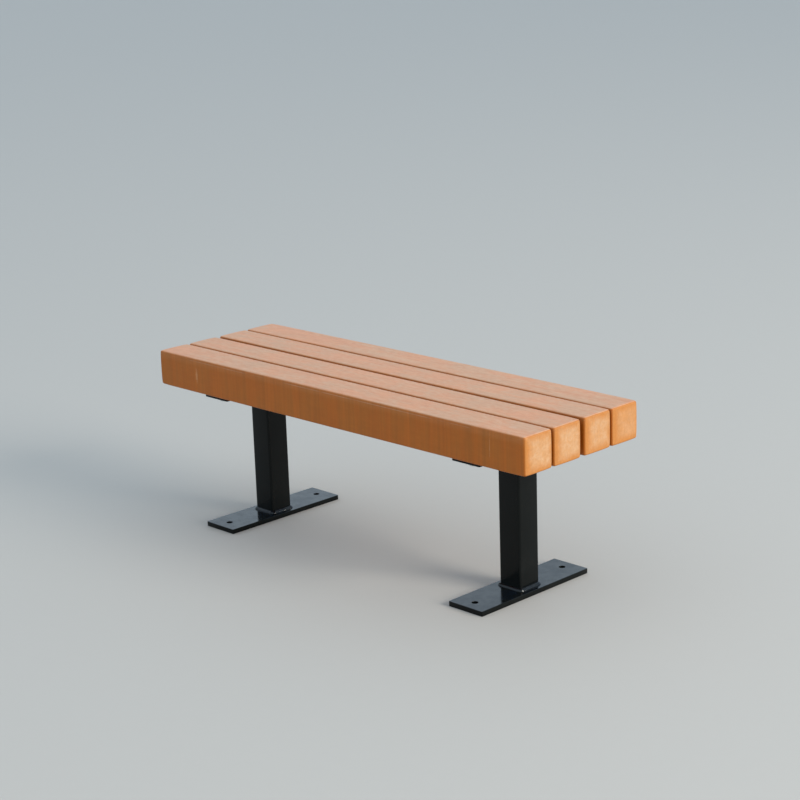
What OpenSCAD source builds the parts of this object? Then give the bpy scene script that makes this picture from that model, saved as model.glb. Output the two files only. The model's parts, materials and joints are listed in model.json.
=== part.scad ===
// Backless bench: four square planks on two steel pedestal frames.
// Millimetres. X runs along the seat, Y from front to back, Z up. The origin is the middle of
// the bench, on the ground.

/* [Seat] */
// Length of the seat, end to end
seat_l = 1219; // [900:1:2000]
// Height of the seat's top above the ground
seat_h = 435; // [350:1:550]
// Side of a square plank
plank_side = 87; // [70:1:120]
// Radius on every edge of a plank
plank_edge_r = 5; // [1:0.5:15]
// Gap between an outer plank and the inner one beside it
gap_side = 7.5; // [3:0.5:20]
// Gap between the two inner planks
gap_mid = 11.5; // [3:0.5:25]

/* [Seat brackets] */
// Thickness of the flat bar under the planks
bracket_t = 12; // [6:0.5:20]
// How far the bar is wider than the post, on each side
bracket_ledge = 9.5; // [8:0.5:30]
// Distance from the seat's front and back faces to the bar's ends
bracket_inset = 20.5; // [2:0.5:60]
// Corner radius of the bar, seen from above
bracket_corner_r = 3; // [0.5:0.5:20]

/* [Posts] */
// Distance from each end of the seat to its post's centre line
post_overhang = 189.5; // [60:0.5:300]
// Outside width of the square tube
post_w = 63.5; // [40:0.5:120]
// Wall of the tube
post_wall = 4.8; // [2:0.1:10]
// Outside corner radius of the tube
post_corner_r = 6; // [5:0.5:15]
// Leg of the weld bead round both ends of the tube
weld_leg = 7; // [3:0.5:10]

/* [Base plates] */
// Size of the plate along the seat
plate_w = 101; // [80:1:200]
// Size of the plate from front to back
plate_d = 357; // [250:1:500]
// Thickness of the plate
plate_t = 12; // [6:0.5:25]
// Corner radius of the plate, seen from above
plate_corner_r = 2.5; // [0.5:0.5:20]
// Diameter of an anchor hole
anchor_hole_d = 15; // [8:0.5:25]
// Distance from the plate's front or back edge to its anchor hole's centre
anchor_edge = 31.5; // [15:0.5:60]

/* [Seat screws] */
// Outside diameter of the screw's shank and thread
screw_d = 9.5; // [6:0.5:14]
// Length of the screw under its head
screw_l = 70; // [40:1:75]
// Width across the flats of the hex head
screw_head_af = 15; // [10:0.5:22]
// Height of the hex head
screw_head_h = 6.4; // [4:0.1:10]
// Length of the screw's pointed end
screw_tip_l = 8; // [4:0.5:12]
// Diameter of its blunt point
screw_tip_d = 2.4; // [1:0.1:4]
// Outside diameter of the flat washer
washer_od = 20; // [14:0.5:30]
// Thickness of the flat washer
washer_t = 2; // [1:0.1:4]
// Clearance round the shank in the bar and in the washer, across the diameter
screw_hole_clearance = 1.5; // [0.5:0.1:4]
// Depth of the plank's hole past the screw's point
pilot_extra = 5; // [1:0.5:10]
// Free space between the weld bead and the nearest washer
washer_weld_gap = 0.75; // [0.5:0.25:10]

/* [Hidden] */
$fn = 64;
// Past the face that a cut goes through
cut = 1;

// Seat
seat_d = 4 * plank_side + 2 * gap_side + gap_mid;
seat_under = seat_h - plank_side;
y_inner = gap_mid / 2 + plank_side / 2;
y_outer = y_inner + plank_side + gap_side;

// Frames, from the ground up
bracket_w = post_w + 2 * bracket_ledge;
bracket_d = seat_d - 2 * bracket_inset;
bracket_z = seat_under - bracket_t;
post_z = plate_t;
post_l = bracket_z - post_z;
post_x = seat_l / 2 - post_overhang;
post_inner_w = post_w - 2 * post_wall;
// The tube's inside corner keeps a small radius when the wall is as thick as the outside one
post_inner_r = max(post_corner_r - post_wall, 0.5);
anchor_y = plate_d / 2 - anchor_edge;

// Screws: one for each plank in each bar. An inner one stays on its plank's centre line unless
// the post and its weld need the room.
screw_y_inner = max(y_inner, post_w / 2 + weld_leg + washer_weld_gap + washer_od / 2);
screw_ys = [-y_outer, -screw_y_inner, screw_y_inner, y_outer];
screw_hole_d = screw_d + screw_hole_clearance;
screw_seat_z = bracket_z - washer_t;
screw_top_z = screw_seat_z + screw_l;
pilot_depth = screw_top_z + pilot_extra - seat_under;

// ---- shapes that several pieces share ----

// A rectangle with true-arc corners, centred.
module rounded_rect(w, d, r) {
    square([w - 2 * r, d], center = true);
    square([w, d - 2 * r], center = true);
    for (sx = [-1, 1], sy = [-1, 1])
        translate([sx * (w / 2 - r), sy * (d / 2 - r)])
            circle(r);
}

// A flat plate on z = 0 with rounded corners.
module flat_plate(w, d, t, r) {
    linear_extrude(t)
        rounded_rect(w, d, r);
}

// A plank, centred, with all its edges rounded.
module plank_bar() {
    intersection() {
        rotate([90, 0, 90])
            linear_extrude(seat_l, center = true)
                rounded_rect(plank_side, plank_side, plank_edge_r);
        linear_extrude(plank_side, center = true)
            rounded_rect(seat_l, plank_side, plank_edge_r);
        rotate([90, 0, 0])
            linear_extrude(plank_side, center = true)
                rounded_rect(seat_l, plank_side, plank_edge_r);
    }
}

// A plank at y, with its two screw holes at screw_y.
module plank(y, screw_y) {
    difference() {
        translate([0, y, seat_under + plank_side / 2])
            plank_bar();
        for (sx = [-1, 1])
            translate([sx * post_x, screw_y, seat_under - cut])
                cylinder(h = pilot_depth + cut, d = screw_d);
    }
}

// A bead of triangular section round the tube, on z = 0.
module weld_ring() {
    half = post_w / 2;
    flat = post_w - 2 * post_corner_r;
    section = [[0, 0], [weld_leg, 0], [0, weld_leg]];
    for (side = [0:3])
        rotate([0, 0, 90 * side]) {
            translate([half, flat / 2, 0])
                rotate([90, 0, 0])
                    linear_extrude(flat)
                        polygon(section);
            translate([flat / 2, flat / 2, 0])
                rotate_extrude(angle = 90)
                    translate([post_corner_r, 0])
                        polygon(section);
        }
}

// A hex lag screw standing on the underside of its head at z = 0, point up.
module lag_screw() {
    translate([0, 0, -screw_head_h])
        cylinder(h = screw_head_h, d = screw_head_af / cos(30), $fn = 6);
    cylinder(h = screw_l - screw_tip_l, d = screw_d);
    translate([0, 0, screw_l - screw_tip_l])
        cylinder(h = screw_tip_l, d1 = screw_d, d2 = screw_tip_d);
}

// A flat washer on z = 0.
module flat_washer() {
    difference() {
        cylinder(h = washer_t, d = washer_od);
        translate([0, 0, -cut])
            cylinder(h = washer_t + 2 * cut, d = screw_hole_d);
    }
}

// ---- the pieces: side is -1 for the left frame and 1 for the right one ----

module seat_bracket(side) {
    difference() {
        translate([side * post_x, 0, bracket_z])
            flat_plate(bracket_w, bracket_d, bracket_t, bracket_corner_r);
        for (y = screw_ys)
            translate([side * post_x, y, bracket_z - cut])
                cylinder(h = bracket_t + 2 * cut, d = screw_hole_d);
    }
}

module post(side) {
    translate([side * post_x, 0, post_z])
        difference() {
            linear_extrude(post_l)
                rounded_rect(post_w, post_w, post_corner_r);
            translate([0, 0, -cut])
                linear_extrude(post_l + 2 * cut)
                    rounded_rect(post_inner_w, post_inner_w, post_inner_r);
        }
}

module top_weld(side) {
    translate([side * post_x, 0, bracket_z])
        mirror([0, 0, 1])
            weld_ring();
}

module base_weld(side) {
    translate([side * post_x, 0, plate_t])
        weld_ring();
}

module base_plate(side) {
    difference() {
        translate([side * post_x, 0, 0])
            flat_plate(plate_w, plate_d, plate_t, plate_corner_r);
        for (sy = [-1, 1])
            translate([side * post_x, sy * anchor_y, -cut])
                cylinder(h = plate_t + 2 * cut, d = anchor_hole_d);
    }
}

module lag_screws(side) {
    for (y = screw_ys)
        translate([side * post_x, y, screw_seat_z])
            lag_screw();
}

module flat_washers(side) {
    for (y = screw_ys)
        translate([side * post_x, y, screw_seat_z])
            flat_washer();
}

module plank_front() {
    color([0.72, 0.47, 0.29])
        plank(-y_outer, -y_outer);
}

module plank_mid_front() {
    color([0.72, 0.47, 0.29])
        plank(-y_inner, -screw_y_inner);
}

module plank_mid_back() {
    color([0.72, 0.47, 0.29])
        plank(y_inner, screw_y_inner);
}

module plank_back() {
    color([0.72, 0.47, 0.29])
        plank(y_outer, y_outer);
}

module seat_bracket_left() {
    color([0.04, 0.04, 0.045])
        seat_bracket(-1);
}

module seat_bracket_right() {
    color([0.04, 0.04, 0.045])
        seat_bracket(1);
}

module post_left() {
    color([0.04, 0.04, 0.045])
        post(-1);
}

module post_right() {
    color([0.04, 0.04, 0.045])
        post(1);
}

module top_weld_left() {
    color([0.04, 0.04, 0.045])
        top_weld(-1);
}

module top_weld_right() {
    color([0.04, 0.04, 0.045])
        top_weld(1);
}

module base_weld_left() {
    color([0.04, 0.04, 0.045])
        base_weld(-1);
}

module base_weld_right() {
    color([0.04, 0.04, 0.045])
        base_weld(1);
}

module base_plate_left() {
    color([0.04, 0.04, 0.045])
        base_plate(-1);
}

module base_plate_right() {
    color([0.04, 0.04, 0.045])
        base_plate(1);
}

module lag_screws_left() {
    color([0.7, 0.7, 0.72])
        lag_screws(-1);
}

module lag_screws_right() {
    color([0.7, 0.7, 0.72])
        lag_screws(1);
}

module flat_washers_left() {
    color([0.7, 0.7, 0.72])
        flat_washers(-1);
}

module flat_washers_right() {
    color([0.7, 0.7, 0.72])
        flat_washers(1);
}

plank_front();
plank_mid_front();
plank_mid_back();
plank_back();
seat_bracket_left();
seat_bracket_right();
post_left();
post_right();
top_weld_left();
top_weld_right();
base_weld_left();
base_weld_right();
base_plate_left();
base_plate_right();
lag_screws_left();
lag_screws_right();
flat_washers_left();
flat_washers_right();
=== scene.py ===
"""Looks of a backless bench: four recycled-plastic planks on two black steel pedestals."""

import json
import logging
import math
from dataclasses import dataclass
from enum import Enum
from typing import Any, Iterable, Sequence

import bmesh
import bpy
import numpy as np
from mathutils import Matrix, Vector
from mathutils.geometry import tessellate_polygon

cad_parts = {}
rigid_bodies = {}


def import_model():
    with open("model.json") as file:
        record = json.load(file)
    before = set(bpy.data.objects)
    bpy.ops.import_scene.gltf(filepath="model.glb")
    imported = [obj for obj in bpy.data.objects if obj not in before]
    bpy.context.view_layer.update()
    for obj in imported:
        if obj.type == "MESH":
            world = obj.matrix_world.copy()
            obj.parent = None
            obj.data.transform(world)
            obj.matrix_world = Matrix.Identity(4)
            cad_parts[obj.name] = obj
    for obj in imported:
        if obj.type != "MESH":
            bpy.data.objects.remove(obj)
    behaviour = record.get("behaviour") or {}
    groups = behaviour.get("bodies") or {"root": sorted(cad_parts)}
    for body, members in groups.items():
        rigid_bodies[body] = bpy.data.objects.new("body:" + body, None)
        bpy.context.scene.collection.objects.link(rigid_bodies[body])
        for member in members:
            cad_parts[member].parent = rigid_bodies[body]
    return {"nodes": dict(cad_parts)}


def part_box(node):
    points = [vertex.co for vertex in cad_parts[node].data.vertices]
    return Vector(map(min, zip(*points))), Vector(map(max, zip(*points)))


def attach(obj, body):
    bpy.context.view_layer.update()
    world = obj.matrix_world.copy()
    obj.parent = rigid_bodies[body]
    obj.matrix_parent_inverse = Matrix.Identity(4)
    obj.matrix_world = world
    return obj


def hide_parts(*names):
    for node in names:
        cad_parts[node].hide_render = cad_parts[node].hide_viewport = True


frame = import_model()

log = logging.getLogger("bench")
MM = 0.001
MERGE = 0.004 * MM  # points closer than this are one
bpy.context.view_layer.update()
BODY = "root"


class Side(Enum):
    """The two ends of the bench: the sign of X, and the word in the node names."""

    LEFT = (-1.0, "left")
    RIGHT = (1.0, "right")

    @property
    def sign(self) -> float:
        """-1 for the left end, 1 for the right one."""
        return self.value[0]

    @property
    def word(self) -> str:
        """The end's word in node names."""
        return self.value[1]


class Facing(Enum):
    """Which way a weld bead's foot looks: down onto a plate, or up against a bar."""

    ON_PLATE = 1.0
    UNDER_BAR = -1.0


# ---- node graphs


class Wire:
    """A node socket that can be used in arithmetic. Each operation adds one Math node."""

    def __init__(self, graph: "Graph", socket: bpy.types.NodeSocket) -> None:
        """Wraps one output socket of a graph.

        Args:
            graph: The graph that the socket's node is in.
            socket: The output socket.
        """
        self.graph = graph
        self.socket = socket

    def _math(self, operation: str, *values: Any) -> "Wire":
        """Adds a Math node and returns its result.

        Args:
            operation: The node's operation.
            *values: Numbers or wires, in the order of its sockets.

        Returns:
            The result.
        """
        inputs = dict(enumerate(values))
        return self.graph.add("ShaderNodeMath", {"operation": operation}, inputs)

    def __add__(self, other: Any) -> "Wire":
        """self + other."""
        return self._math("ADD", self, other)

    __radd__ = __add__

    def __mul__(self, other: Any) -> "Wire":
        """self * other."""
        return self._math("MULTIPLY", self, other)

    __rmul__ = __mul__

    def __sub__(self, other: Any) -> "Wire":
        """self - other."""
        return self._math("SUBTRACT", self, other)

    def __rsub__(self, other: Any) -> "Wire":
        """other - self."""
        return self._math("SUBTRACT", other, self)

    def __truediv__(self, other: Any) -> "Wire":
        """self / other."""
        return self._math("DIVIDE", self, other)

    def __pow__(self, other: Any) -> "Wire":
        """self to the power of other."""
        return self._math("POWER", self, other)

    def __abs__(self) -> "Wire":
        """The absolute value."""
        return self._math("ABSOLUTE", self)

    def __gt__(self, other: Any) -> "Wire":
        """1 where self is above other, else 0."""
        return self._math("GREATER_THAN", self, other)

    def other(self, name: str) -> "Wire":
        """Another output of the same node."""
        return Wire(self.graph, self.socket.node.outputs[name])

    def max(self, other: Any) -> "Wire":
        """The larger of self and other."""
        return self._math("MAXIMUM", self, other)

    def min(self, other: Any) -> "Wire":
        """The smaller of self and other."""
        return self._math("MINIMUM", self, other)

    def sin(self) -> "Wire":
        """The sine, of radians."""
        return self._math("SINE", self)

    def cos(self) -> "Wire":
        """The cosine, of radians."""
        return self._math("COSINE", self)

    def ease(self, low: float, high: float) -> "Wire":
        """A smooth step, from 0 at low to 1 at high.

        Args:
            low: Where the step starts. It may be above high.
            high: Where the step ends.

        Returns:
            The step.
        """
        start, end, flip = (low, high, False) if low < high else (high, low, True)
        return self.graph.add(
            "ShaderNodeMapRange", {"interpolation_type": "SMOOTHSTEP"},
            {"Value": self, "From Min": start, "From Max": end, "To Min": float(flip),
             "To Max": float(not flip)}, output="Result",
        )


class Graph:
    """Builds one node tree, of a material or of a Geometry Nodes group."""

    def __init__(self, tree: bpy.types.NodeTree) -> None:
        """Starts from the tree as it is."""
        self.tree = tree

    def add(self, kind: str, settings: dict[str, Any] | None = None,
            inputs: dict[str | int, Any] | None = None, output: str | int = 0) -> Wire:
        """Adds a node.

        Args:
            kind: The node's type.
            settings: Its properties, which are set first.
            inputs: Values or wires for its sockets, by name or by number.
            output: The socket that is returned.

        Returns:
            The chosen output.
        """
        node = self.tree.nodes.new(kind)
        for name, value in (settings or {}).items():
            setattr(node, name, value)
        for key, value in (inputs or {}).items():
            self.feed(self._socket(node, key), value)
        return Wire(self, self._output(node, output))

    def feed(self, socket: bpy.types.NodeSocket, value: Any) -> None:
        """Links a wire to a socket, or sets the socket's value.

        Args:
            socket: The input socket.
            value: A wire, a number, a colour or anything else that the socket takes.
        """
        if isinstance(value, Wire):
            self.tree.links.new(value.socket, socket)
        elif isinstance(value, (tuple, list)) and len(value) == 3 and socket.type == "RGBA":
            socket.default_value = (*value, 1.0)
        else:
            socket.default_value = value

    @staticmethod
    def _socket(node: bpy.types.Node, key: str | int) -> bpy.types.NodeSocket:
        """The live input with a name, or the one at a place.

        Args:
            node: The node.
            key: The name or the place.

        Returns:
            The socket.
        """
        if isinstance(key, int):
            return node.inputs[key]
        named = [s for s in node.inputs if s.name == key and s.enabled]
        return named[0] if named else node.inputs[key]

    @staticmethod
    def _output(node: bpy.types.Node, key: str | int) -> bpy.types.NodeSocket:
        """The live output with a name, or the one at a place.

        Args:
            node: The node.
            key: The name or the place.

        Returns:
            The socket.
        """
        if isinstance(key, int):
            return [s for s in node.outputs if s.enabled][key]
        return [s for s in node.outputs if s.name == key and s.enabled][0]

    def mix(self, share: Any, first: Any, second: Any) -> Wire:
        """Mixes two colours.

        Args:
            share: How much of the second colour there is, from 0 to 1.
            first: The colour at share 0.
            second: The colour at share 1.

        Returns:
            The mixed colour.
        """
        return self.add(
            "ShaderNodeMix", {"data_type": "RGBA"},
            {"Factor": share, "A": first, "B": second}, output="Result",
        )

    def vector(self, operation: str, *values: Any) -> Wire:
        """A Vector Math node's result."""
        return self.add("ShaderNodeVectorMath", {"operation": operation},
                        dict(enumerate(values)))

    def scaled(self, vector: Any, factor: Any) -> Wire:
        """A vector or colour times a number."""
        return self.add("ShaderNodeVectorMath", {"operation": "SCALE"},
                        {0: vector, "Scale": factor})

    def noise(self, place: Wire, scale: float, detail: float = 3.0,
              roughness: float = 0.5, distortion: float = 0.0) -> Wire:
        """Noise from 0 to 1 at a place.

        Args:
            place: Where it is read, in metres.
            scale: How many lumps there are to a metre.
            detail: How many finer layers it has.
            roughness: How strong the finer layers are.
            distortion: How far it is swirled.

        Returns:
            The noise.
        """
        return self.add(
            "ShaderNodeTexNoise", {"noise_dimensions": "3D"},
            {"Vector": place, "Scale": scale, "Detail": detail, "Roughness": roughness,
             "Distortion": distortion},
        )


class Surface(Graph):
    """The node tree of one Principled material."""

    def __init__(self, name: str) -> None:
        """Makes the material, with its shader and its object coordinates."""
        self.material = bpy.data.materials.new(name)
        self.material.use_nodes = True
        super().__init__(self.material.node_tree)
        self.shader = next(n for n in self.tree.nodes if n.type == "BSDF_PRINCIPLED")

    def place(self, centre: Sequence[float] = (0.0, 0.0, 0.0),
              stretch: Sequence[float] = (1.0, 1.0, 1.0)) -> Wire:
        """Object coordinates measured from centre, then scaled by stretch.

        Args:
            centre: The point that becomes the origin, in metres.
            stretch: A factor for each axis.

        Returns:
            The place.
        """
        coords = self.add("ShaderNodeTexCoord", output="Object")
        shift = tuple(-c * s for c, s in zip(centre, stretch))
        return self.add("ShaderNodeMapping", {"vector_type": "POINT"},
                        {"Vector": coords, "Location": shift, "Scale": tuple(stretch)})

    def axes(self, place: Wire) -> tuple[Wire, Wire, Wire]:
        """The three coordinates of a place."""
        x = self.add("ShaderNodeSeparateXYZ", {}, {0: place}, output="X")
        return x, x.other("Y"), x.other("Z")

    def dress(self, bump: Iterable[tuple[Wire, float]] = (), **inputs: Any) -> bpy.types.Material:
        """Sets the shader's sockets, and chains height maps through Bump nodes.

        Args:
            bump: Height wires, each with its distance in metres.
            **inputs: Shader sockets, with an underscore for a space.

        Returns:
            The finished material.
        """
        for key, value in inputs.items():
            self.feed(self.shader.inputs[key.replace("_", " ")], value)
        normal: Wire | None = None
        for height, distance in bump:
            feeds: dict[str | int, Any] = {"Height": height, "Distance": distance,
                                           "Strength": 1.0}
            if normal is not None:
                feeds["Normal"] = normal
            normal = self.add("ShaderNodeBump", {}, feeds)
        if normal is not None:
            self.feed(self.shader.inputs["Normal"], normal)
        return self.material


# ---- finishes


@dataclass(frozen=True)
class Mark:
    """A soft pale rub on a plank: its middle and half sizes in metres, and how strong it is."""

    at: tuple[float, float, float]
    half: tuple[float, float, float]
    strength: float


@dataclass(frozen=True)
class PlankFinish:
    """Cedar-coloured recycled plastic: a faintly grained skin, and a paler sawn core at the ends.

    The colours come first. A depth is how far a pattern lightens and darkens the colour, and a
    share is how much of one colour lies over another, both from 0 to 1.
    """

    skin: tuple[float, float, float] = (0.390, 0.110, 0.0090)
    skin_warm: tuple[float, float, float] = (0.404, 0.102, 0.0065)
    worn: tuple[float, float, float] = (0.620, 0.310, 0.140)
    # Colours of the top: partly sun bleaching, partly a painted sheen of sky reflection
    bleached: tuple[float, float, float] = (0.612, 0.260, 0.122)
    bleached_grey: tuple[float, float, float] = (0.538, 0.298, 0.172)
    core: tuple[float, float, float] = (0.470, 0.238, 0.100)
    core_pale: tuple[float, float, float] = (0.500, 0.288, 0.150)
    rim: tuple[float, float, float] = (0.430, 0.158, 0.032)
    scuff: tuple[float, float, float] = (0.640, 0.460, 0.330)
    bleach_share: float = 0.92
    grain_depth: float = 0.20
    fibre_depth: float = 0.30
    fleck_depth: float = 0.42
    band_depth: float = 0.28
    fine_band_depth: float = 0.34
    upper_share: float = 0.09
    edge_line_share: float = 0.24
    saw_depth: float = 0.18
    crumb_depth: float = 0.34
    roughness: float = 0.44
    index: float = 1.38

    def material(self, name: str, centre: Sequence[float], size: Sequence[float], seed: float,
                 core_share: float, marks: Sequence[Mark]) -> bpy.types.Material:
        """Builds the finish for one plank.

        Args:
            name: The material's name.
            centre: The plank's middle, in metres.
            size: Its length, width and height.
            seed: Moves the patterns, so that no two planks are alike.
            core_share: How pale the middle of its sawn ends is, from 0 to 1.
            marks: The rubs on it.

        Returns:
            The material.
        """
        s = Surface(name)
        here = s.place(centre)
        x, y, z = s.axes(here)
        moved = s.vector("ADD", here, (seed * 3.1, seed * 1.7, seed * 0.9))
        half_x, half_y, half_z = (v / 2 for v in size)

        def streaks(stretch: tuple[float, float, float], detail: float, rough: float) -> Wire:
            """Noise drawn out along the plank or across it.

            Args:
                stretch: Lumps to a metre along each axis.
                detail: How many finer layers it has.
                rough: How strong the finer layers are.

            Returns:
                The noise.
            """
            return s.noise(s.vector("MULTIPLY", moved, stretch), 1.0, detail, rough)

        # Where on the plank this is
        to_end = half_x - abs(x)
        end = to_end.ease(2.3 * MM, 0.6 * MM)
        top = z.ease(half_z - 2.4 * MM, half_z - 0.8 * MM) * (1 - end)
        side_skin = (1 - top) * (1 - end)

        # The skin: slow mottling, streaks along the plank, and moulding bands across its sides
        mottle = s.noise(moved, 9.0, 4.0, 0.6)
        grain = streaks((3.0, 60.0, 60.0), 5.0, 0.62)
        fibre = streaks((14.0, 150.0, 150.0), 3.0, 0.6)
        fleck = streaks((60.0, 150.0, 150.0), 3.0, 0.65)
        bands = streaks((55.0, 1.0, 3.0), 3.0, 0.55)
        fine_bands = streaks((150.0, 2.0, 5.0), 2.0, 0.6)
        skin = s.mix((mottle * 0.5 + bands * 0.5).ease(0.40, 0.60), self.skin, self.skin_warm)
        # The top's pale pink colour is partly sun bleaching and partly a painted sky sheen
        sky = s.mix((mottle * 0.4 + grain * 0.3 + fleck * 0.3).ease(0.42, 0.58), self.bleached,
                    self.bleached_grey)
        colour = s.mix(top * self.bleach_share, skin, sky)
        lengthwise = ((grain - 0.5) * self.grain_depth + (fibre - 0.5) * self.fibre_depth
                      + (fleck - 0.5) * self.fleck_depth)
        crosswise = ((bands - 0.5) * self.band_depth
                     + (fine_bands - 0.5) * self.fine_band_depth)
        shade = 1 + lengthwise * (0.35 + top * 0.65) + crosswise * side_skin

        # The sides are paler near the top, with a faint line where the rounded edge begins
        upper = z.ease(half_z - 22 * MM, half_z - 10 * MM) * side_skin
        colour = s.mix(upper * self.upper_share, colour, self.worn)
        edge_line = abs(z - (half_z - 7.2 * MM)).ease(1.5 * MM, 0.3 * MM) * side_skin
        broken = streaks((14.0, 1.0, 1.0), 3.0, 0.5).ease(0.40, 0.65)
        colour = s.mix(edge_line * broken * self.edge_line_share, colour, self.scuff)

        # The sawn ends: cloudy pale core, saturated rim, faint saw marks
        across_end = abs(y - 6 * MM).max(abs(z - 1.5 * MM))
        wander = s.noise(moved, 38.0, 3.0, 0.5) - 0.5
        inside = (across_end + wander * 16 * MM).ease(half_y - 0.5 * MM, half_y - 24 * MM)
        cloud = s.noise(moved, 50.0, 4.0, 0.66, 0.8)
        crumb = s.noise(moved, 190.0, 3.0, 0.6)
        saw = streaks((1.0, 300.0, 26.0), 2.0, 0.5)
        pale = s.mix(cloud.ease(0.36, 0.66), self.core, self.core_pale)
        colour = s.mix(end, colour, s.mix(inside * core_share, self.rim, pale))
        sawn = (saw - 0.5) * self.saw_depth + (crumb - 0.5) * self.crumb_depth
        shade = shade * (1 + sawn * end)

        # Rubs
        rub: Wire | float = 0.0
        for mark in marks:
            away = s.add("ShaderNodeVectorMath", {"operation": "LENGTH"},
                         {0: s.place(mark.at, tuple(1 / h for h in mark.half))}, output="Value")
            spot = (away + (fleck - 0.5) * 1.4).ease(1.0, 0.2) * mark.strength
            rub = spot.max(rub)
        colour = s.mix(rub, colour, s.mix(top, self.worn, self.scuff))
        colour = s.scaled(colour, shade)

        rough = self.roughness + (mottle - 0.5) * 0.16 + (grain - 0.5) * 0.14 + end * 0.14
        return s.dress(
            bump=((grain, 0.12 * MM), (fibre, 0.07 * MM), ((saw + crumb) * end, 0.10 * MM),
                  (mottle, 0.5 * MM)),
            Base_Color=colour, Roughness=rough, IOR=self.index,
        )


@dataclass(frozen=True)
class BlackCoat:
    """Glossy black powder coat, with orange peel and a little dust.

    Splash dust fades out between dusty_to and dusty_from, and the shiny film begins between
    film_from and film_to, all heights above the ground. On a base plate's top the film's
    blotchy bluish colour is a painted sky reflection, under a clear coat that reflects for real.
    """

    black: tuple[float, float, float] = (0.0024, 0.0030, 0.0028)
    lifted: tuple[float, float, float] = (0.0040, 0.0050, 0.0046)
    dust: tuple[float, float, float] = (0.230, 0.215, 0.190)
    film: tuple[float, float, float] = (0.0030, 0.0050, 0.0085)
    dustiness: float = 0.016
    dusty_from: float = 0.12
    dusty_to: float = 0.012
    film_from: float = 11.2 * MM
    film_to: float = 11.9 * MM
    film_index: float = 1.5
    film_roughness: float = 0.14
    peel: float = 0.035 * MM
    wave: float = 0.06 * MM
    roughness: float = 0.13
    index: float = 1.24

    def material(self, name: str, film_share: float = 0.0) -> bpy.types.Material:
        """Builds the coat.

        Args:
            name: The material's name.
            film_share: How much of a thin shiny film lies on a base plate's top, from 0 to 1.
                When it is not 0, the top also gets a painted bluish sky reflection.

        Returns:
            The material.
        """
        s = Surface(name)
        here = s.place()
        _, _, z = s.axes(here)
        cloud = s.noise(here, 14.0, 4.0, 0.6)
        smear = s.noise(s.vector("MULTIPLY", here, (60.0, 60.0, 9.0)), 1.0, 4.0, 0.6)
        peel = s.noise(here, 620.0, 2.0, 0.5)
        wave = s.noise(here, 130.0, 2.0, 0.4)
        specks = s.noise(here, 900.0, 2.0, 0.7).ease(0.60, 0.78)
        low = z.ease(self.dusty_from, self.dusty_to)
        dust = (cloud.ease(0.42, 0.72) * 0.7 + specks * 0.9) * (0.30 + low * 0.70)
        colour = s.mix(cloud, self.black, self.lifted)
        colour = s.mix((dust * self.dustiness).min(1.0), colour, self.dust)
        rough = self.roughness + smear.ease(0.40, 0.75) * 0.08 + dust * 0.10
        looks: dict[str, Any] = {"Base_Color": colour, "Roughness": rough, "IOR": self.index}
        if film_share:
            # Painted sky reflection: blotches of a bluish colour on the plate's top, under a real
            # clear coat
            blot = s.noise(here, 42.0, 4.0, 0.62).ease(0.34, 0.66)
            on_top = z.ease(self.film_from, self.film_to)
            looks["Base_Color"] = s.mix(on_top, colour, s.mix(blot, self.film, colour))
            looks["Coat_Weight"] = on_top * film_share * (0.75 + blot * 0.5)
            looks["Coat_IOR"] = self.film_index
            looks["Coat_Roughness"] = self.film_roughness
        return s.dress(bump=((wave, self.wave), (peel, self.peel)), **looks)


@dataclass(frozen=True)
class ZincPlate:
    """Bright zinc on screws and washers, dulled in patches."""

    bright: tuple[float, float, float] = (0.66, 0.67, 0.68)
    dull: tuple[float, float, float] = (0.40, 0.405, 0.40)
    tint: tuple[float, float, float] = (0.52, 0.47, 0.36)

    def material(self, name: str) -> bpy.types.Material:
        """Builds the plating.

        Args:
            name: The material's name.

        Returns:
            The material.
        """
        s = Surface(name)
        here = s.place()
        cloud = s.noise(here, 210.0, 4.0, 0.6)
        stain = s.noise(here, 95.0, 3.0, 0.5).ease(0.52, 0.75)
        brush = s.noise(s.vector("MULTIPLY", here, (900.0, 900.0, 120.0)), 1.0, 2.0)
        colour = s.mix(cloud.ease(0.38, 0.66), self.bright, self.dull)
        colour = s.mix(stain * 0.35, colour, self.tint)
        return s.dress(
            bump=((brush, 0.02 * MM), (cloud, 0.03 * MM)),
            Base_Color=colour, Roughness=0.26 + cloud * 0.22 + stain * 0.12, Metallic=1.0,
        )


@dataclass(frozen=True)
class PaleFloor:
    """The plain pale floor of the studio."""

    tone: tuple[float, float, float] = (0.47, 0.435, 0.395)

    def material(self, name: str) -> bpy.types.Material:
        """Builds the floor's finish.

        Args:
            name: The material's name.

        Returns:
            The material.
        """
        s = Surface(name)
        fine = s.noise(s.place(), 30.0, 3.0)
        colour = s.mix(fine * 0.25, self.tone, tuple(c * 0.94 for c in self.tone))
        return s.dress(Base_Color=colour, Roughness=0.75)


# ---- mesh helpers


def make_object(name: str, mesh: bpy.types.Mesh,
                *materials: bpy.types.Material) -> bpy.types.Object:
    """Puts a mesh in the scene as an object at the origin.

    Args:
        name: The object's name.
        mesh: Its mesh, which is already in place.
        *materials: What the mesh is dressed in.

    Returns:
        The object.
    """
    obj = bpy.data.objects.new(name, mesh)
    bpy.context.scene.collection.objects.link(obj)
    for m in materials:
        mesh.materials.append(m)
    return obj


def turn_outwards(mesh: bpy.types.Mesh, merge: float = 0.0) -> None:
    """Makes a closed mesh's faces point outwards.

    Args:
        mesh: The mesh, which is changed.
        merge: Points nearer to each other than this are joined first.
    """
    work = bmesh.new()
    work.from_mesh(mesh)
    if merge:
        bmesh.ops.remove_doubles(work, verts=work.verts, dist=merge)
    bmesh.ops.recalc_face_normals(work, faces=work.faces)
    work.to_mesh(mesh)
    work.free()


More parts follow.
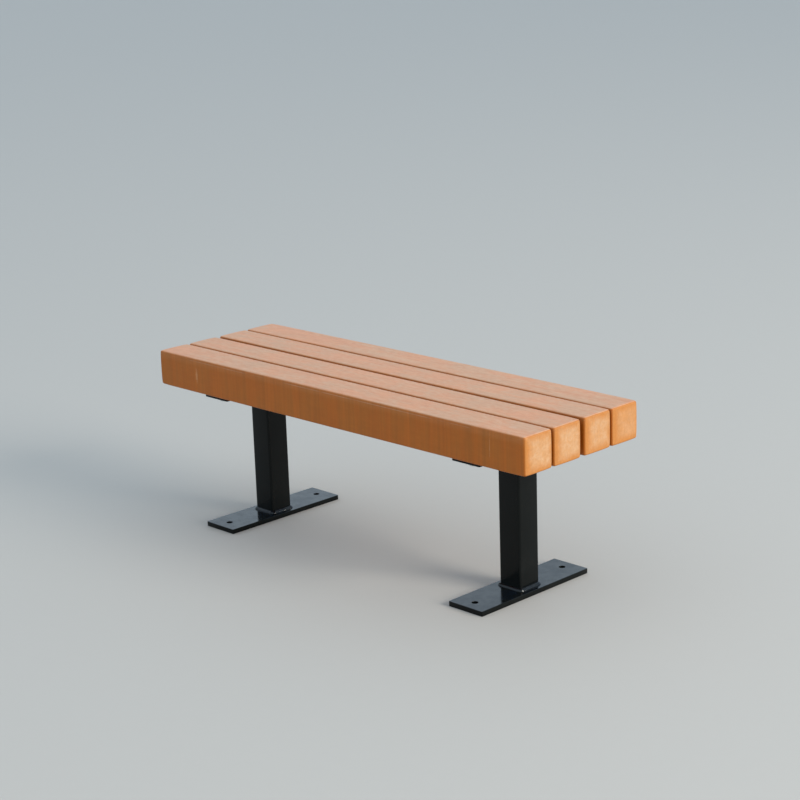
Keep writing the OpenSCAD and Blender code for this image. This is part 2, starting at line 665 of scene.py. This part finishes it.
def mesh_of(name: str, points: np.ndarray, faces: Sequence[Sequence[int]]) -> bpy.types.Mesh:
    """A mesh from points and faces, with doubles merged and normals outwards.

    Args:
        name: The mesh's name.
        points: One row for each point, in metres.
        faces: The points of each face, by number.

    Returns:
        The mesh.
    """
    mesh = bpy.data.meshes.new(name)
    mesh.from_pydata([tuple(p) for p in points], [], [tuple(f) for f in faces])
    turn_outwards(mesh, MERGE)
    return mesh


def evaluated(obj: bpy.types.Object, name: str) -> bpy.types.Mesh:
    """The mesh that an object's modifiers make, as a plain mesh.

    Args:
        obj: The object.
        name: The new mesh's name.

    Returns:
        The mesh.
    """
    graph = bpy.context.evaluated_depsgraph_get()
    mesh = bpy.data.meshes.new_from_object(obj.evaluated_get(graph), depsgraph=graph)
    mesh.name = name
    return mesh


def smooth_by_angle(mesh: bpy.types.Mesh, degrees: float = 35.0) -> None:
    """Shades a mesh smooth, with sharp edges where faces meet at more than an angle.

    Args:
        mesh: The mesh, which is changed.
        degrees: The angle.
    """
    mesh.shade_smooth()
    mesh.set_sharp_from_angle(angle=math.radians(degrees))


def own(obj: bpy.types.Object, slot: str, *nodes: str) -> bpy.types.Object:
    """Tells the frame what a finished piece rides on and stands for.

    Args:
        obj: The piece.
        slot: Not used.
        *nodes: The frame's nodes that it replaces.

    Returns:
        The same piece.
    """
    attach(obj, BODY)
    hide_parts(*nodes)
    log.info("piece %s: %d faces, for %s", obj.name, len(obj.data.polygons), ", ".join(nodes))
    return obj


def rounded_square(width: float, depth: float, radius: float,
                   steps: int) -> list[tuple[float, float]]:
    """Points round a rectangle with rounded corners, anticlockwise.

    Args:
        width: The size along X.
        depth: The size along Y.
        radius: The corners' radius.
        steps: Segments in each corner.

    Returns:
        The points, about the origin.
    """
    points = []
    for turn, (sx, sy) in enumerate(((1, 1), (-1, 1), (-1, -1), (1, -1))):
        cx, cy = sx * (width / 2 - radius), sy * (depth / 2 - radius)
        for k in range(steps + 1):
            a = math.pi / 2 * (turn + k / steps)
            points.append((cx + radius * math.cos(a), cy + radius * math.sin(a)))
    return points


def loop_normals(loop: np.ndarray) -> np.ndarray:
    """Outward unit normals at the points of an anticlockwise loop.

    Args:
        loop: The points, one to a row.

    Returns:
        The normals, one to a row.
    """
    edge = np.roll(loop, -1, axis=0) - loop
    side = np.stack([edge[:, 1], -edge[:, 0]], axis=1)
    side /= np.linalg.norm(side, axis=1, keepdims=True)
    both = side + np.roll(side, 1, axis=0)
    return both / np.linalg.norm(both, axis=1, keepdims=True)


def flat_solid(name: str, loops: Sequence[Sequence[tuple[float, float]]], thickness: float,
               edge: float, centre: Vector, steps: int = 3) -> bpy.types.Mesh:
    """A flat bar or plate: the first loop is its outline and the others are holes.

    Args:
        name: The mesh's name.
        loops: Outline and holes, anticlockwise, as points in metres about the centre.
        thickness: The plate's thickness.
        edge: The radius on its edges.
        centre: Where its middle goes.
        steps: Segments over each rounded edge.

    Returns:
        The mesh, in place, with exact normals.
    """
    turns = [math.pi / 2 * k / steps for k in range(steps + 1)]
    wall = thickness / 2 - edge
    rise = [(edge * (1 - math.cos(a)), wall + edge * math.sin(a), a) for a in turns]
    stations = [(d, -h, -a) for d, h, a in reversed(rise)] + rise
    points: list[Sequence[float]] = []
    normals: list[Sequence[float]] = []
    faces: list[Sequence[int]] = []
    caps: dict[int, list[list[int]]] = {0: [], len(stations) - 1: []}
    for number, loop in enumerate(loops):
        flat = np.array(loop)
        out = loop_normals(flat) * (1 if number == 0 else -1)
        count, start = len(flat), len(points)
        for inset, height, tilt in stations:
            ring = flat - out * inset
            points += [(x, y, height) for x, y in ring]
            normals += [(nx * math.cos(tilt), ny * math.cos(tilt), math.sin(tilt))
                        for nx, ny in out]
        for level in range(len(stations) - 1):
            low, high = start + level * count, start + (level + 1) * count
            for i in range(count):
                j = (i + 1) % count
                quad = (low + i, low + j, high + j, high + i)
                faces.append(quad if number == 0 else quad[::-1])
        for level, rings in caps.items():
            rings.append([start + level * count + i for i in range(count)])
    for level, rings in caps.items():
        order = [i for ring in rings for i in ring]
        outlines = [[Vector(points[i]) for i in ring] for ring in rings]
        for tri in tessellate_polygon(outlines):
            corners = [order[k] for k in tri]
            a, b, c = (Vector(points[i]) for i in corners)
            upward = (b - a).cross(c - a).z > 0
            faces.append(corners if upward == (level != 0) else corners[::-1])
    mesh = bpy.data.meshes.new(name)
    mesh.from_pydata([tuple(Vector(q) + centre) for q in points], [], faces)
    mesh.shade_smooth()
    mesh.normals_split_custom_set_from_vertices(normals)
    return mesh


def lathe(name: str, profile: Sequence[tuple[float, float]], sides: int) -> bpy.types.Mesh:
    """Turns a closed profile of (radius, height) points about Z.

    Args:
        name: The mesh's name.
        profile: The points, anticlockwise.
        sides: Segments in a full turn.

    Returns:
        The mesh.
    """
    points, faces = [], []
    count = len(profile)
    for k in range(sides):
        a = 2 * math.pi * k / sides
        points += [(r * math.cos(a), r * math.sin(a), h) for r, h in profile]
    for k in range(sides):
        n = (k + 1) % sides
        for i in range(count):
            j = (i + 1) % count
            faces.append((k * count + i, n * count + i, n * count + j, k * count + j))
    return mesh_of(name, np.array(points), faces)


# ---- geometry node groups


class NodeGroup(Graph):
    """A Geometry Nodes group with named inputs."""

    KINDS = {"size": "NodeSocketFloat", "count": "NodeSocketInt",
             "object": "NodeSocketObject", "material": "NodeSocketMaterial"}

    def __init__(self, name: str, wanted: dict[str, str]) -> None:
        """Makes the group.

        Args:
            name: The group's name.
            wanted: Input names, each with its kind.
        """
        tree = bpy.data.node_groups.new(name, "GeometryNodeTree")
        super().__init__(tree)
        tree.interface.new_socket("Geometry", in_out="INPUT", socket_type="NodeSocketGeometry")
        self.ids = {
            label: tree.interface.new_socket(
                label, in_out="INPUT", socket_type=self.KINDS[kind]).identifier
            for label, kind in wanted.items()
        }
        tree.interface.new_socket("Geometry", in_out="OUTPUT", socket_type="NodeSocketGeometry")
        self.entry = tree.nodes.new("NodeGroupInput")

    def given(self, label: str) -> Wire:
        """One of the group's inputs."""
        return Wire(self, self.entry.outputs[label])

    def close(self, geometry: Wire) -> None:
        """Ends the group: instances made real, and the material set.

        Args:
            geometry: What the group has made.
        """
        real = self.add("GeometryNodeRealizeInstances", {}, {"Geometry": geometry})
        dressed = self.add("GeometryNodeSetMaterial", {},
                           {"Geometry": real, "Material": self.given("Material")})
        leave = self.tree.nodes.new("NodeGroupOutput")
        self.feed(leave.inputs["Geometry"], dressed)

    def bake(self, name: str, base: bpy.types.Mesh, values: dict[str, Any]) -> bpy.types.Mesh:
        """Runs the group on a mesh and returns the result as a plain mesh.

        Args:
            name: The new mesh's name.
            base: The mesh that goes in.
            values: The group's inputs, by name.

        Returns:
            The mesh that comes out.
        """
        holder = bpy.data.objects.new(name + "_holder", base)
        bpy.context.scene.collection.objects.link(holder)
        modifier = holder.modifiers.new("group", "NODES")
        modifier.node_group = self.tree
        for label, value in values.items():
            modifier[self.ids[label]] = value
        mesh = evaluated(holder, name)
        bpy.data.objects.remove(holder)
        return mesh


def scatter_group() -> NodeGroup:
    """A group that puts one piece at each point of a mesh, each turned at random about Z.

    Returns:
        The group.
    """
    g = NodeGroup("fixings_at_points", {"Piece": "object", "Seed": "count", "Turn": "size",
                                        "Material": "material"})
    piece = g.add("GeometryNodeObjectInfo", {"transform_space": "ORIGINAL"},
                  {"Object": g.given("Piece")}, output="Geometry")
    spin = g.add("FunctionNodeRandomValue", {"data_type": "FLOAT"},
                 {"Min": 0.0, "Max": g.given("Turn"), "Seed": g.given("Seed")}, output="Value")
    turn = g.add("ShaderNodeCombineXYZ", {}, {"Z": spin})
    turned = g.add("FunctionNodeEulerToRotation", {}, {0: turn})
    points = g.add("GeometryNodeMeshToPoints", {}, {0: g.given("Geometry")})
    g.close(g.add("GeometryNodeInstanceOnPoints", {},
                  {"Points": points, "Instance": piece, "Rotation": turned}))
    return g


def bead_group(rows: int, columns: int) -> NodeGroup:
    """A group that runs a weld bead round a square tube.

    Args:
        rows: Steps over the bead's face, from its toe on the plate to its toe on the tube.
        columns: Steps round the tube.

    Returns:
        The group. The bead stands on z = 0 about the origin.
    """
    g = NodeGroup("weld_bead", {"Tube Width": "size", "Corner Radius": "size", "Leg": "size",
                                "Pitch": "size", "Ripple": "size", "Wander": "size",
                                "Seed": "size", "Material": "material"})
    steps = rows + 2
    bulge, ripple_bow, ripple_middle, drift_scale, corner_steps = 1.25, 2.2, 0.6, 70.0, 8
    sheet = g.add("GeometryNodeMeshGrid", {},
                  {"Size X": 1.0, "Size Y": 1.0, "Vertices X": columns + 1,
                   "Vertices Y": steps + 1}, output="Mesh")
    across = g.add("ShaderNodeSeparateXYZ", {}, {0: g.add("GeometryNodeInputPosition")},
                   output="X")
    around = across + 0.5
    row = (across.other("Y") + 0.5) * steps
    past_face = row > rows + 0.5
    at_root = past_face * (1 - (row > rows + 1.5))
    face = row / rows * (1 - past_face)

    width = g.given("Tube Width")
    square = g.add("GeometryNodeCurvePrimitiveQuadrilateral", {"mode": "RECTANGLE"},
                   {"Width": width, "Height": width})
    path = g.add("GeometryNodeFilletCurve", {"mode": "POLY"},
                 {"Curve": square, "Radius": g.given("Corner Radius"), "Count": corner_steps,
                  "Limit Radius": True})
    at = g.add("GeometryNodeSampleCurve", {"mode": "FACTOR", "use_all_curves": True},
               {"Curves": path, "Factor": around}, output="Position")
    outward = g.vector("CROSS_PRODUCT", at.other("Tangent"), (0.0, 0.0, 1.0))
    length = g.add("GeometryNodeCurveLength", {}, {"Curve": path})
    ripples = g.add("ShaderNodeMath", {"operation": "ROUND"}, {0: length / g.given("Pitch")})

    bow = face * (1 - face) * ripple_bow
    wave = abs(((ripples * around - bow) * math.pi).sin())
    drift = g.add("ShaderNodeTexNoise", {"noise_dimensions": "4D"},
                  {"Vector": at, "W": g.given("Seed"), "Scale": drift_scale, "Detail": 2.0})
    rippled = 1 + (wave - ripple_middle) * g.given("Ripple")
    size = rippled * (1 + (drift - 0.5) * g.given("Wander"))
    reach = g.given("Leg") * size * (1 - at_root)
    angle = face * (math.pi / 2)
    out = reach * angle.cos().max(0.0) ** bulge
    up = g.add("ShaderNodeCombineXYZ", {}, {"Z": reach * angle.sin().max(0.0) ** bulge})
    spot = g.vector("ADD", g.vector("ADD", at, g.scaled(outward, out)), up)
    bead = g.add("GeometryNodeSetPosition", {}, {"Geometry": sheet, "Position": spot})
    g.close(g.add("GeometryNodeMergeByDistance", {}, {"Geometry": bead, "Distance": 0.01 * MM}))
    return g


# ---- the bench


@dataclass
class Plank:
    """One square plank, with rounded edges, faces that sink a little, and a slight bow.

    The middle stands off the ends by bow, along Y. Held says who gives way: at 1 the middle
    keeps its place, and at 0.5 the middle and the ends share the bow.
    """

    node: str
    seed: float
    bow: float
    held: float
    core_share: float = 0.9
    marks: tuple[Mark, ...] = ()
    long_edge: float = 4.5 * MM
    end_edge: float = 6.0 * MM
    sink: float = 0.35 * MM
    flatness: int = 8
    corner_wear: float = 2.2 * MM
    corner_reach: float = 9 * MM
    arc_steps: int = 6
    cross_steps: int = 8
    station: float = 26 * MM

    def lines(self, half: float, radius: float, inner: int) -> np.ndarray:
        """Grid lines along one axis: even in angle over the rounded edges, even in between.

        Args:
            half: Half the plank's size along the axis.
            radius: The radius of the edges that the axis runs into.
            inner: Steps between the rounded edges.

        Returns:
            The lines' places, from low to high.
        """
        arc = [radius * math.tan(math.pi / 4 * k / self.arc_steps)
               for k in range(1, self.arc_steps + 1)]
        flat = np.linspace(-(half - radius), half - radius, inner + 1)
        low = [-(half - radius) - a for a in reversed(arc)]
        return np.array([*low, *flat, *[-v for v in reversed(low)]])

    def box_grid(self, half: np.ndarray, radii: np.ndarray) -> tuple[np.ndarray, list[list[int]]]:
        """The points and faces of a sharp box about the origin, as six gridded sheets.

        Args:
            half: Half the box's size, along each axis.
            radii: The edge radius that each axis runs into.

        Returns:
            The points, and each face's points by number.
        """
        counts = (round(2 * half[0] / self.station), self.cross_steps, self.cross_steps)
        grid = [self.lines(h, r, n) for h, r, n in zip(half, radii, counts)]
        points: list[np.ndarray] = []
        faces: list[list[int]] = []
        for axis in range(3):
            first, second = ((1, 2), (2, 0), (0, 1))[axis]
            for sign in (-1, 1):
                u, v = np.meshgrid(grid[first], grid[second], indexing="ij")
                sheet = np.zeros((*u.shape, 3))
                sheet[..., axis] = sign * half[axis]
                sheet[..., first], sheet[..., second] = u, v
                start = sum(len(p) for p in points)
                points.append(sheet.reshape(-1, 3))
                rows, cols = u.shape
                a = start + np.arange(rows - 1)[:, None] * cols + np.arange(cols - 1)
                quads = np.stack([a, a + cols, a + cols + 1, a + 1], axis=-1).reshape(-1, 4)
                faces += (quads if sign > 0 else quads[:, ::-1]).tolist()
        return np.concatenate(points), faces

    def weather(self, shape: np.ndarray, normals: np.ndarray, half: np.ndarray) -> None:
        """Sinks the long faces, wears the corners and bows the plank, in place.

        Args:
            shape: The rounded plank's points about its middle, which are changed.
            normals: Their normals.
            half: Half the plank's size, along each axis.
        """
        share = shape / half
        for axis in (1, 2):
            other = 3 - axis
            shape[:, axis] -= (np.sign(share[:, axis])
                               * (np.abs(normals[:, axis]) ** self.flatness) * self.sink
                               * (1 - share[:, other] ** 2) * (1 - share[:, 0] ** self.flatness))
        closeness = np.exp(-(half - np.abs(shape)) / self.corner_reach)
        worn = np.prod(closeness, axis=1, keepdims=True) * self.corner_wear
        shape -= np.sign(shape) / math.sqrt(3) * worn
        arch = 1 - share[:, 0] ** 2
        shape[:, 1] += self.bow * (arch - self.held)

    def mesh(self, points: np.ndarray, faces: list[list[int]],
             normals: np.ndarray) -> bpy.types.Mesh:
        """The six sheets joined along their seams, with the exact normals of the rounded box.

        Args:
            points: The plank's points, in place.
            faces: Each face's points, by number.
            normals: One normal for each point.

        Returns:
            The mesh.
        """
        mesh = bpy.data.meshes.new(self.node + "_bar")
        mesh.from_pydata(points.tolist(), [], faces)
        work = bmesh.new()
        work.from_mesh(mesh)
        layer = work.verts.layers.float_vector.new("face_normal")
        for vert, normal in zip(work.verts, normals):
            vert[layer] = normal
        bmesh.ops.remove_doubles(work, verts=work.verts, dist=MERGE)
        work.to_mesh(mesh)
        work.free()
        kept = mesh.attributes["face_normal"]
        exact = np.zeros(len(mesh.vertices) * 3, np.float32)
        kept.data.foreach_get("vector", exact)
        mesh.attributes.remove(kept)
        mesh.shade_smooth()
        mesh.normals_split_custom_set_from_vertices(exact.reshape(-1, 3))
        return mesh

    def build(self, finish: PlankFinish) -> bpy.types.Object:
        """Makes the plank where the frame has it.

        Args:
            finish: What the plank is made of.

        Returns:
            The finished piece.
        """
        low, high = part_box(self.node)
        centre, half = (low + high) / 2, np.array((high - low) / 2)
        radii = np.array([self.end_edge, self.long_edge, self.long_edge])
        box, faces = self.box_grid(half, radii)
        core = np.clip(box, -(half - radii), half - radii)
        away = (box - core) / radii
        away /= np.linalg.norm(away, axis=1, keepdims=True)
        normals = away / radii
        normals /= np.linalg.norm(normals, axis=1, keepdims=True)
        shape = core + away * radii
        self.weather(shape, normals, half)
        mesh = self.mesh(shape + np.array(centre), faces, normals)
        material = finish.material(self.node + "_plastic", centre, tuple(2 * half), self.seed,
                                   self.core_share, self.marks)
        return own(make_object(self.node + "_bar", mesh, material), "plank_plastic", self.node)


@dataclass
class Seat:
    """The four planks, from front to back."""

    finish: PlankFinish
    planks: tuple[Plank, ...] = (
        Plank("plank_front", seed=1.0, bow=-0.8 * MM, held=1.0, core_share=0.95, marks=(
            Mark((-0.466, -0.187, 0.391), (0.0060, 0.008, 0.026), 0.42),
            Mark((0.510, -0.187, 0.396), (0.0014, 0.008, 0.040), 0.34),
            Mark((0.538, -0.143, 0.434), (0.014, 0.010, 0.006), 0.30),
            Mark((0.600, -0.180, 0.431), (0.016, 0.008, 0.007), 0.34),
        )),
        Plank("plank_mid_front", seed=2.3, bow=1.4 * MM, held=0.5, core_share=0.95, marks=(
            Mark((0.334, -0.022, 0.434), (0.011, 0.007, 0.006), 0.30),
        )),
        Plank("plank_mid_back", seed=3.9, bow=-1.0 * MM, held=0.5, core_share=0.85, marks=(
            Mark((0.222, 0.007, 0.433), (0.004, 0.004, 0.004), 0.40),
        )),
        Plank("plank_back", seed=5.2, bow=1.9 * MM, held=1.0, core_share=0.52),
    )

    def build(self) -> None:
        """Makes every plank."""
        for plank in self.planks:
            plank.build(self.finish)


@dataclass
class Pedestal:
    """One welded steel frame: base plate, post, the bar under the seat, and two weld beads."""

    side: Side
    steel: bpy.types.Material
    plate_steel: bpy.types.Material
    post_corner: float = 6.0 * MM
    post_wall: float = 4.8 * MM
    plate_corner: float = 2.5 * MM
    bar_corner: float = 3.0 * MM
    plate_edge: float = 0.9 * MM
    anchor_radius: float = 7.5 * MM
    anchor_inset: float = 31.5 * MM
    screw_hole_radius: float = 5.5 * MM
    post_edge: float = 0.1 * MM
    weld_leg: float = 6.1 * MM
    weld_pitch: float = 4.2 * MM
    weld_ripple: float = 0.06
    weld_wander: float = 0.34
    base_weld_seed: float = 2.0
    top_weld_seed: float = 7.0
    bead_rows: int = 8
    bead_columns: int = 420
    corner_steps: int = 5
    post_steps: int = 8
    inner_steps: int = 3
    anchor_sides: int = 40
    screw_hole_sides: int = 28
    crease: float = 50.0

    def node(self, piece: str) -> str:
        """The frame's node name of one of this side's pieces."""
        return f"{piece}_{self.side.word}"

    def keep(self, piece: str, mesh: bpy.types.Mesh) -> bpy.types.Object:
        """Puts a finished mesh in place of one of this side's nodes.

        Args:
            piece: The piece's name, without its side.
            mesh: Its mesh, in place.

        Returns:
            The finished piece.
        """
        mesh.materials.clear()
        steel = self.plate_steel if piece.startswith("base") else self.steel
        return own(make_object(self.node(piece) + "_steel", mesh, steel), "frame_paint",
                   self.node(piece))

    @staticmethod
    def ring(radius: float, x: float, y: float, sides: int) -> list[tuple[float, float]]:
        """Points round a circle, anticlockwise.

        Args:
            radius: The circle's radius.
            x: Its middle along X.
            y: Its middle along Y.
            sides: How many points it has.

        Returns:
            The points.
        """
        return [(x + radius * math.cos(2 * math.pi * k / sides),
                 y + radius * math.sin(2 * math.pi * k / sides)) for k in range(sides)]

    def plate(self) -> None:
        """The base plate, with its two anchor holes."""
        low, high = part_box(self.node("base_plate"))
        size = high - low
        hole_y = size.y / 2 - self.anchor_inset
        loops = [rounded_square(size.x, size.y, self.plate_corner, self.corner_steps)]
        loops += [self.ring(self.anchor_radius, 0.0, s * hole_y, self.anchor_sides)
                  for s in (-1, 1)]
        self.keep("base_plate", flat_solid("base_plate", loops, size.z, self.plate_edge,
                                           (low + high) / 2))

    def bar(self) -> None:
        """The flat bar under the planks, with a hole for each screw."""
        low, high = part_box(self.node("seat_bracket"))
        size, centre = high - low, (low + high) / 2
        loops = [rounded_square(size.x, size.y, self.bar_corner, self.corner_steps)]
        for spot in fixing_points(self.node("lag_screws")):
            loops.append(self.ring(self.screw_hole_radius, spot.x - centre.x, spot.y - centre.y,
                                   self.screw_hole_sides))
        self.keep("seat_bracket", flat_solid("seat_bracket", loops, size.z, self.plate_edge,
                                             centre))

    def post(self) -> None:
        """The square tube."""
        low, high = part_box(self.node("post"))
        size = high - low
        inner = size.x - 2 * self.post_wall
        loops = [rounded_square(size.x, size.y, self.post_corner, self.post_steps),
                 rounded_square(inner, inner, self.post_corner - self.post_wall,
                                self.inner_steps)]
        self.keep("post", flat_solid("post", loops, size.z, self.post_edge, (low + high) / 2, 1))

    def bead(self, piece: str, facing: Facing, seed: float) -> None:
        """A weld bead round the tube.

        Args:
            piece: The weld's name in the frame.
            facing: Whether it stands on the plate or hangs under the bar.
            seed: Moves its unevenness.
        """
        low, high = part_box(self.node(piece))
        tube_low, tube_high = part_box(self.node("post"))
        group = bead_group(self.bead_rows, self.bead_columns)
        mesh = group.bake(self.node(piece), bpy.data.meshes.new("bead"), {
            "Tube Width": tube_high.x - tube_low.x, "Corner Radius": self.post_corner,
            "Leg": self.weld_leg, "Pitch": self.weld_pitch, "Ripple": self.weld_ripple,
            "Wander": self.weld_wander, "Seed": seed, "Material": self.steel})
        foot = low.z if facing is Facing.ON_PLATE else high.z
        centre = (low + high) / 2
        mesh.transform(Matrix.Translation((centre.x, centre.y, foot))
                       @ Matrix.Diagonal((1.0, 1.0, facing.value, 1.0)))
        turn_outwards(mesh)
        smooth_by_angle(mesh, self.crease)
        self.keep(piece, mesh)

    def build(self) -> None:
        """Makes the whole frame."""
        self.plate()
        self.post()
        self.bar()
        self.bead("base_weld", Facing.ON_PLATE, self.base_weld_seed + self.side.sign)
        self.bead("top_weld", Facing.UNDER_BAR, self.top_weld_seed + self.side.sign)


def fixing_points(node: str) -> list[Vector]:
    """Finds the separate solids of a node, which stand in a row along Y.

    Args:
        node: The node's name in the frame.

    Returns:
        The middle of each solid at its lowest height, from front to back.
    """
    points = sorted((tuple(v.co) for v in frame["nodes"][node].data.vertices),
                    key=lambda co: co[1])
    apart = 10 * MM
    groups: list[list[tuple[float, ...]]] = [[points[0]]]
    for before, co in zip(points, points[1:]):
        if co[1] - before[1] > apart:
            groups.append([])
        groups[-1].append(co)
    spots = []
    for group in groups:
        low, high = np.min(group, axis=0), np.max(group, axis=0)
        spots.append(Vector(((low[0] + high[0]) / 2, (low[1] + high[1]) / 2, low[2])))
    return spots


@dataclass
class SeatFixings:
    """One side's lag screws and washers, one of each for every plank."""

    side: Side
    zinc: bpy.types.Material
    head_flats: float = 15.0 * MM
    head_height: float = 6.4 * MM
    crown_share: float = 0.94
    chamfer: float = 30.0
    shank: float = 4.75 * MM
    neck: float = 0.4 * MM
    length: float = 70.0 * MM
    tip: float = 8.0 * MM
    tip_radius: float = 1.2 * MM
    screw_sides: int = 72
    screw_crease: float = 28.0
    washer_outer: float = 10.0 * MM
    washer_inner: float = 5.5 * MM
    washer_thickness: float = 2.0 * MM
    washer_edge: float = 0.35 * MM
    washer_sides: int = 56
    washer_crease: float = 50.0

    def screw(self) -> bpy.types.Mesh:
        """One screw, its head's lowest face on z = 0 and its point up.

        Returns:
            The mesh.
        """
        sides, flat = self.screw_sides, self.head_flats / 2
        crown, head = flat * self.crown_share, self.head_height
        slope = math.tan(math.radians(self.chamfer))
        profiles: list[tuple[tuple[float, float], ...]] = []
        for k in range(sides):
            turn = (k * 360 / sides) % 60 - 30
            reach = flat / math.cos(math.radians(turn))
            profiles.append((
                (crown, 0.0), (reach, (reach - crown) * slope), (reach, head),
                (self.shank + self.neck, head), (self.shank, head + self.neck),
                (self.shank, head + self.length - self.tip),
                (self.tip_radius, head + self.length),
            ))
        rings = list(zip(*profiles))
        points = [(r * math.cos(2 * math.pi * k / sides), r * math.sin(2 * math.pi * k / sides), h)
                  for ring in rings for k, (r, h) in enumerate(ring)]
        faces: list[Sequence[int]] = [tuple(range(sides))[::-1]]
        for level in range(len(rings) - 1):
            for k in range(sides):
                n = (k + 1) % sides
                faces.append((level * sides + k, level * sides + n,
                              (level + 1) * sides + n, (level + 1) * sides + k))
        faces.append(tuple(range((len(rings) - 1) * sides, len(rings) * sides)))
        mesh = mesh_of("lag_screw", np.array(points), faces)
        smooth_by_angle(mesh, self.screw_crease)
        return mesh

    def washer(self) -> bpy.types.Mesh:
        """One flat washer on z = 0, with rolled edges.

        Returns:
            The mesh.
        """
        e, t = self.washer_edge, self.washer_thickness
        a, b = self.washer_inner, self.washer_outer
        inner, outer = e * 0.4, e * 0.3
        profile = [(a, inner), (a + inner, 0), (b - e, 0), (b - outer, outer), (b, e),
                   (b, t - outer), (b - outer, t), (a + inner, t), (a, t - inner)]
        mesh = lathe("flat_washer", profile, self.washer_sides)
        smooth_by_angle(mesh, self.washer_crease)
        return mesh

    def row(self, piece: str, template: bpy.types.Mesh, seed: int, turn: float) -> None:
        """Puts the template at each of a node's places, as one mesh.

        Args:
            piece: The node's name, without its side.
            template: The mesh of one fixing.
            seed: Sets how each one is turned.
            turn: The largest turn, in radians.
        """
        node = f"{piece}_{self.side.word}"
        spots = bpy.data.meshes.new("spots")
        spots.from_pydata([tuple(p) for p in fixing_points(node)], [], [])
        holder = make_object("template", template)
        mesh = scatter_group().bake(node + "_zinc", spots, {
            "Piece": holder, "Seed": seed, "Turn": turn, "Material": self.zinc})
        bpy.data.objects.remove(holder)
        mesh.materials.clear()
        own(make_object(node + "_zinc", mesh, self.zinc), "zinc_steel", node)

    def build(self) -> None:
        """Makes the screws and the washers."""
        seed = 11 if self.side is Side.LEFT else 23
        self.row("lag_screws", self.screw(), seed, math.pi / 3)
        self.row("flat_washers", self.washer(), seed + 1, math.pi)


@dataclass
class Studio:
    """The floor, the soft light and the camera."""

    floor_reach: float = 60.0
    camera_at: tuple[float, float, float] = (3.1594, -3.0293, 1.5706)
    heading: float = -45.709
    pitch: float = 15.352
    roll: float = -1.894
    lens: float = 86.72
    sensor: float = 36.0
    clip: tuple[float, float] = (0.05, 400.0)
    sky: tuple[float, float, float] = (0.71, 0.86, 1.0)
    sky_strength: float = 1.02
    key_direction: tuple[float, float, float] = (0.90, 0.15, 0.36)
    key_distance: float = 14.0
    key_size: float = 7.0
    key_power: float = 2070.0
    key_colour: tuple[float, float, float] = (1.0, 0.97, 0.90)

    def floor(self) -> None:
        """A plain pale floor."""
        r = self.floor_reach
        mesh = bpy.data.meshes.new("floor")
        mesh.from_pydata([(-r, -r, 0), (r, -r, 0), (r, r, 0), (-r, r, 0)], [], [(0, 1, 2, 3)])
        make_object("floor", mesh, PaleFloor().material("pale_floor"))

    def light(self) -> None:
        """An even pale sky, and one broad soft key light from the right-hand end."""
        world = bpy.data.worlds.new("studio")
        bpy.context.scene.world = world
        world.use_nodes = True
        sky = world.node_tree.nodes["Background"]
        sky.inputs["Color"].default_value = (*self.sky, 1.0)
        sky.inputs["Strength"].default_value = self.sky_strength
        lamp = bpy.data.lights.new("key", "AREA")
        lamp.shape, lamp.size = "DISK", self.key_size
        lamp.energy, lamp.color = self.key_power, self.key_colour
        holder = bpy.data.objects.new("key", lamp)
        bpy.context.scene.collection.objects.link(holder)
        toward = Vector(self.key_direction).normalized()
        holder.location = toward * self.key_distance
        holder.rotation_mode = "QUATERNION"
        holder.rotation_quaternion = (-toward).to_track_quat("-Z", "Y")

    def camera(self) -> None:
        """The camera, a little above the seat, off its right-hand front corner."""
        heading, pitch, roll = (math.radians(a) for a in (self.heading, self.pitch, self.roll))
        ahead = Vector((math.sin(heading) * math.cos(pitch), math.cos(heading) * math.cos(pitch),
                        -math.sin(pitch)))
        level = Vector((math.cos(heading), -math.sin(heading), 0.0))
        upright = level.cross(ahead)
        right = level * math.cos(roll) + upright * math.sin(roll)
        up = upright * math.cos(roll) - level * math.sin(roll)
        data = bpy.data.cameras.new("camera")
        data.lens, data.sensor_width = self.lens, self.sensor
        data.clip_start, data.clip_end = self.clip
        holder = bpy.data.objects.new("camera", data)
        bpy.context.scene.collection.objects.link(holder)
        turn = Matrix((right, up, -ahead)).transposed().to_4x4()
        holder.matrix_world = Matrix.Translation(self.camera_at) @ turn
        bpy.context.scene.camera = holder

    def build(self) -> None:
        """Makes the whole studio."""
        self.floor()
        self.light()
        self.camera()


def main() -> None:
    """Builds the bench and the studio."""
    logging.basicConfig(level=logging.INFO, format="%(name)s: %(message)s")
    Seat(PlankFinish()).build()
    coat = BlackCoat().material("black_coat")
    plate_coat = BlackCoat().material("black_coat_plate", film_share=0.36)
    zinc = ZincPlate().material("zinc_plate")
    for side in Side:
        Pedestal(side, coat, plate_coat).build()
        SeatFixings(side, zinc).build()
    Studio().build()
    bpy.context.scene.view_settings.view_transform = "Standard"


if __name__ == "__main__":
    main()
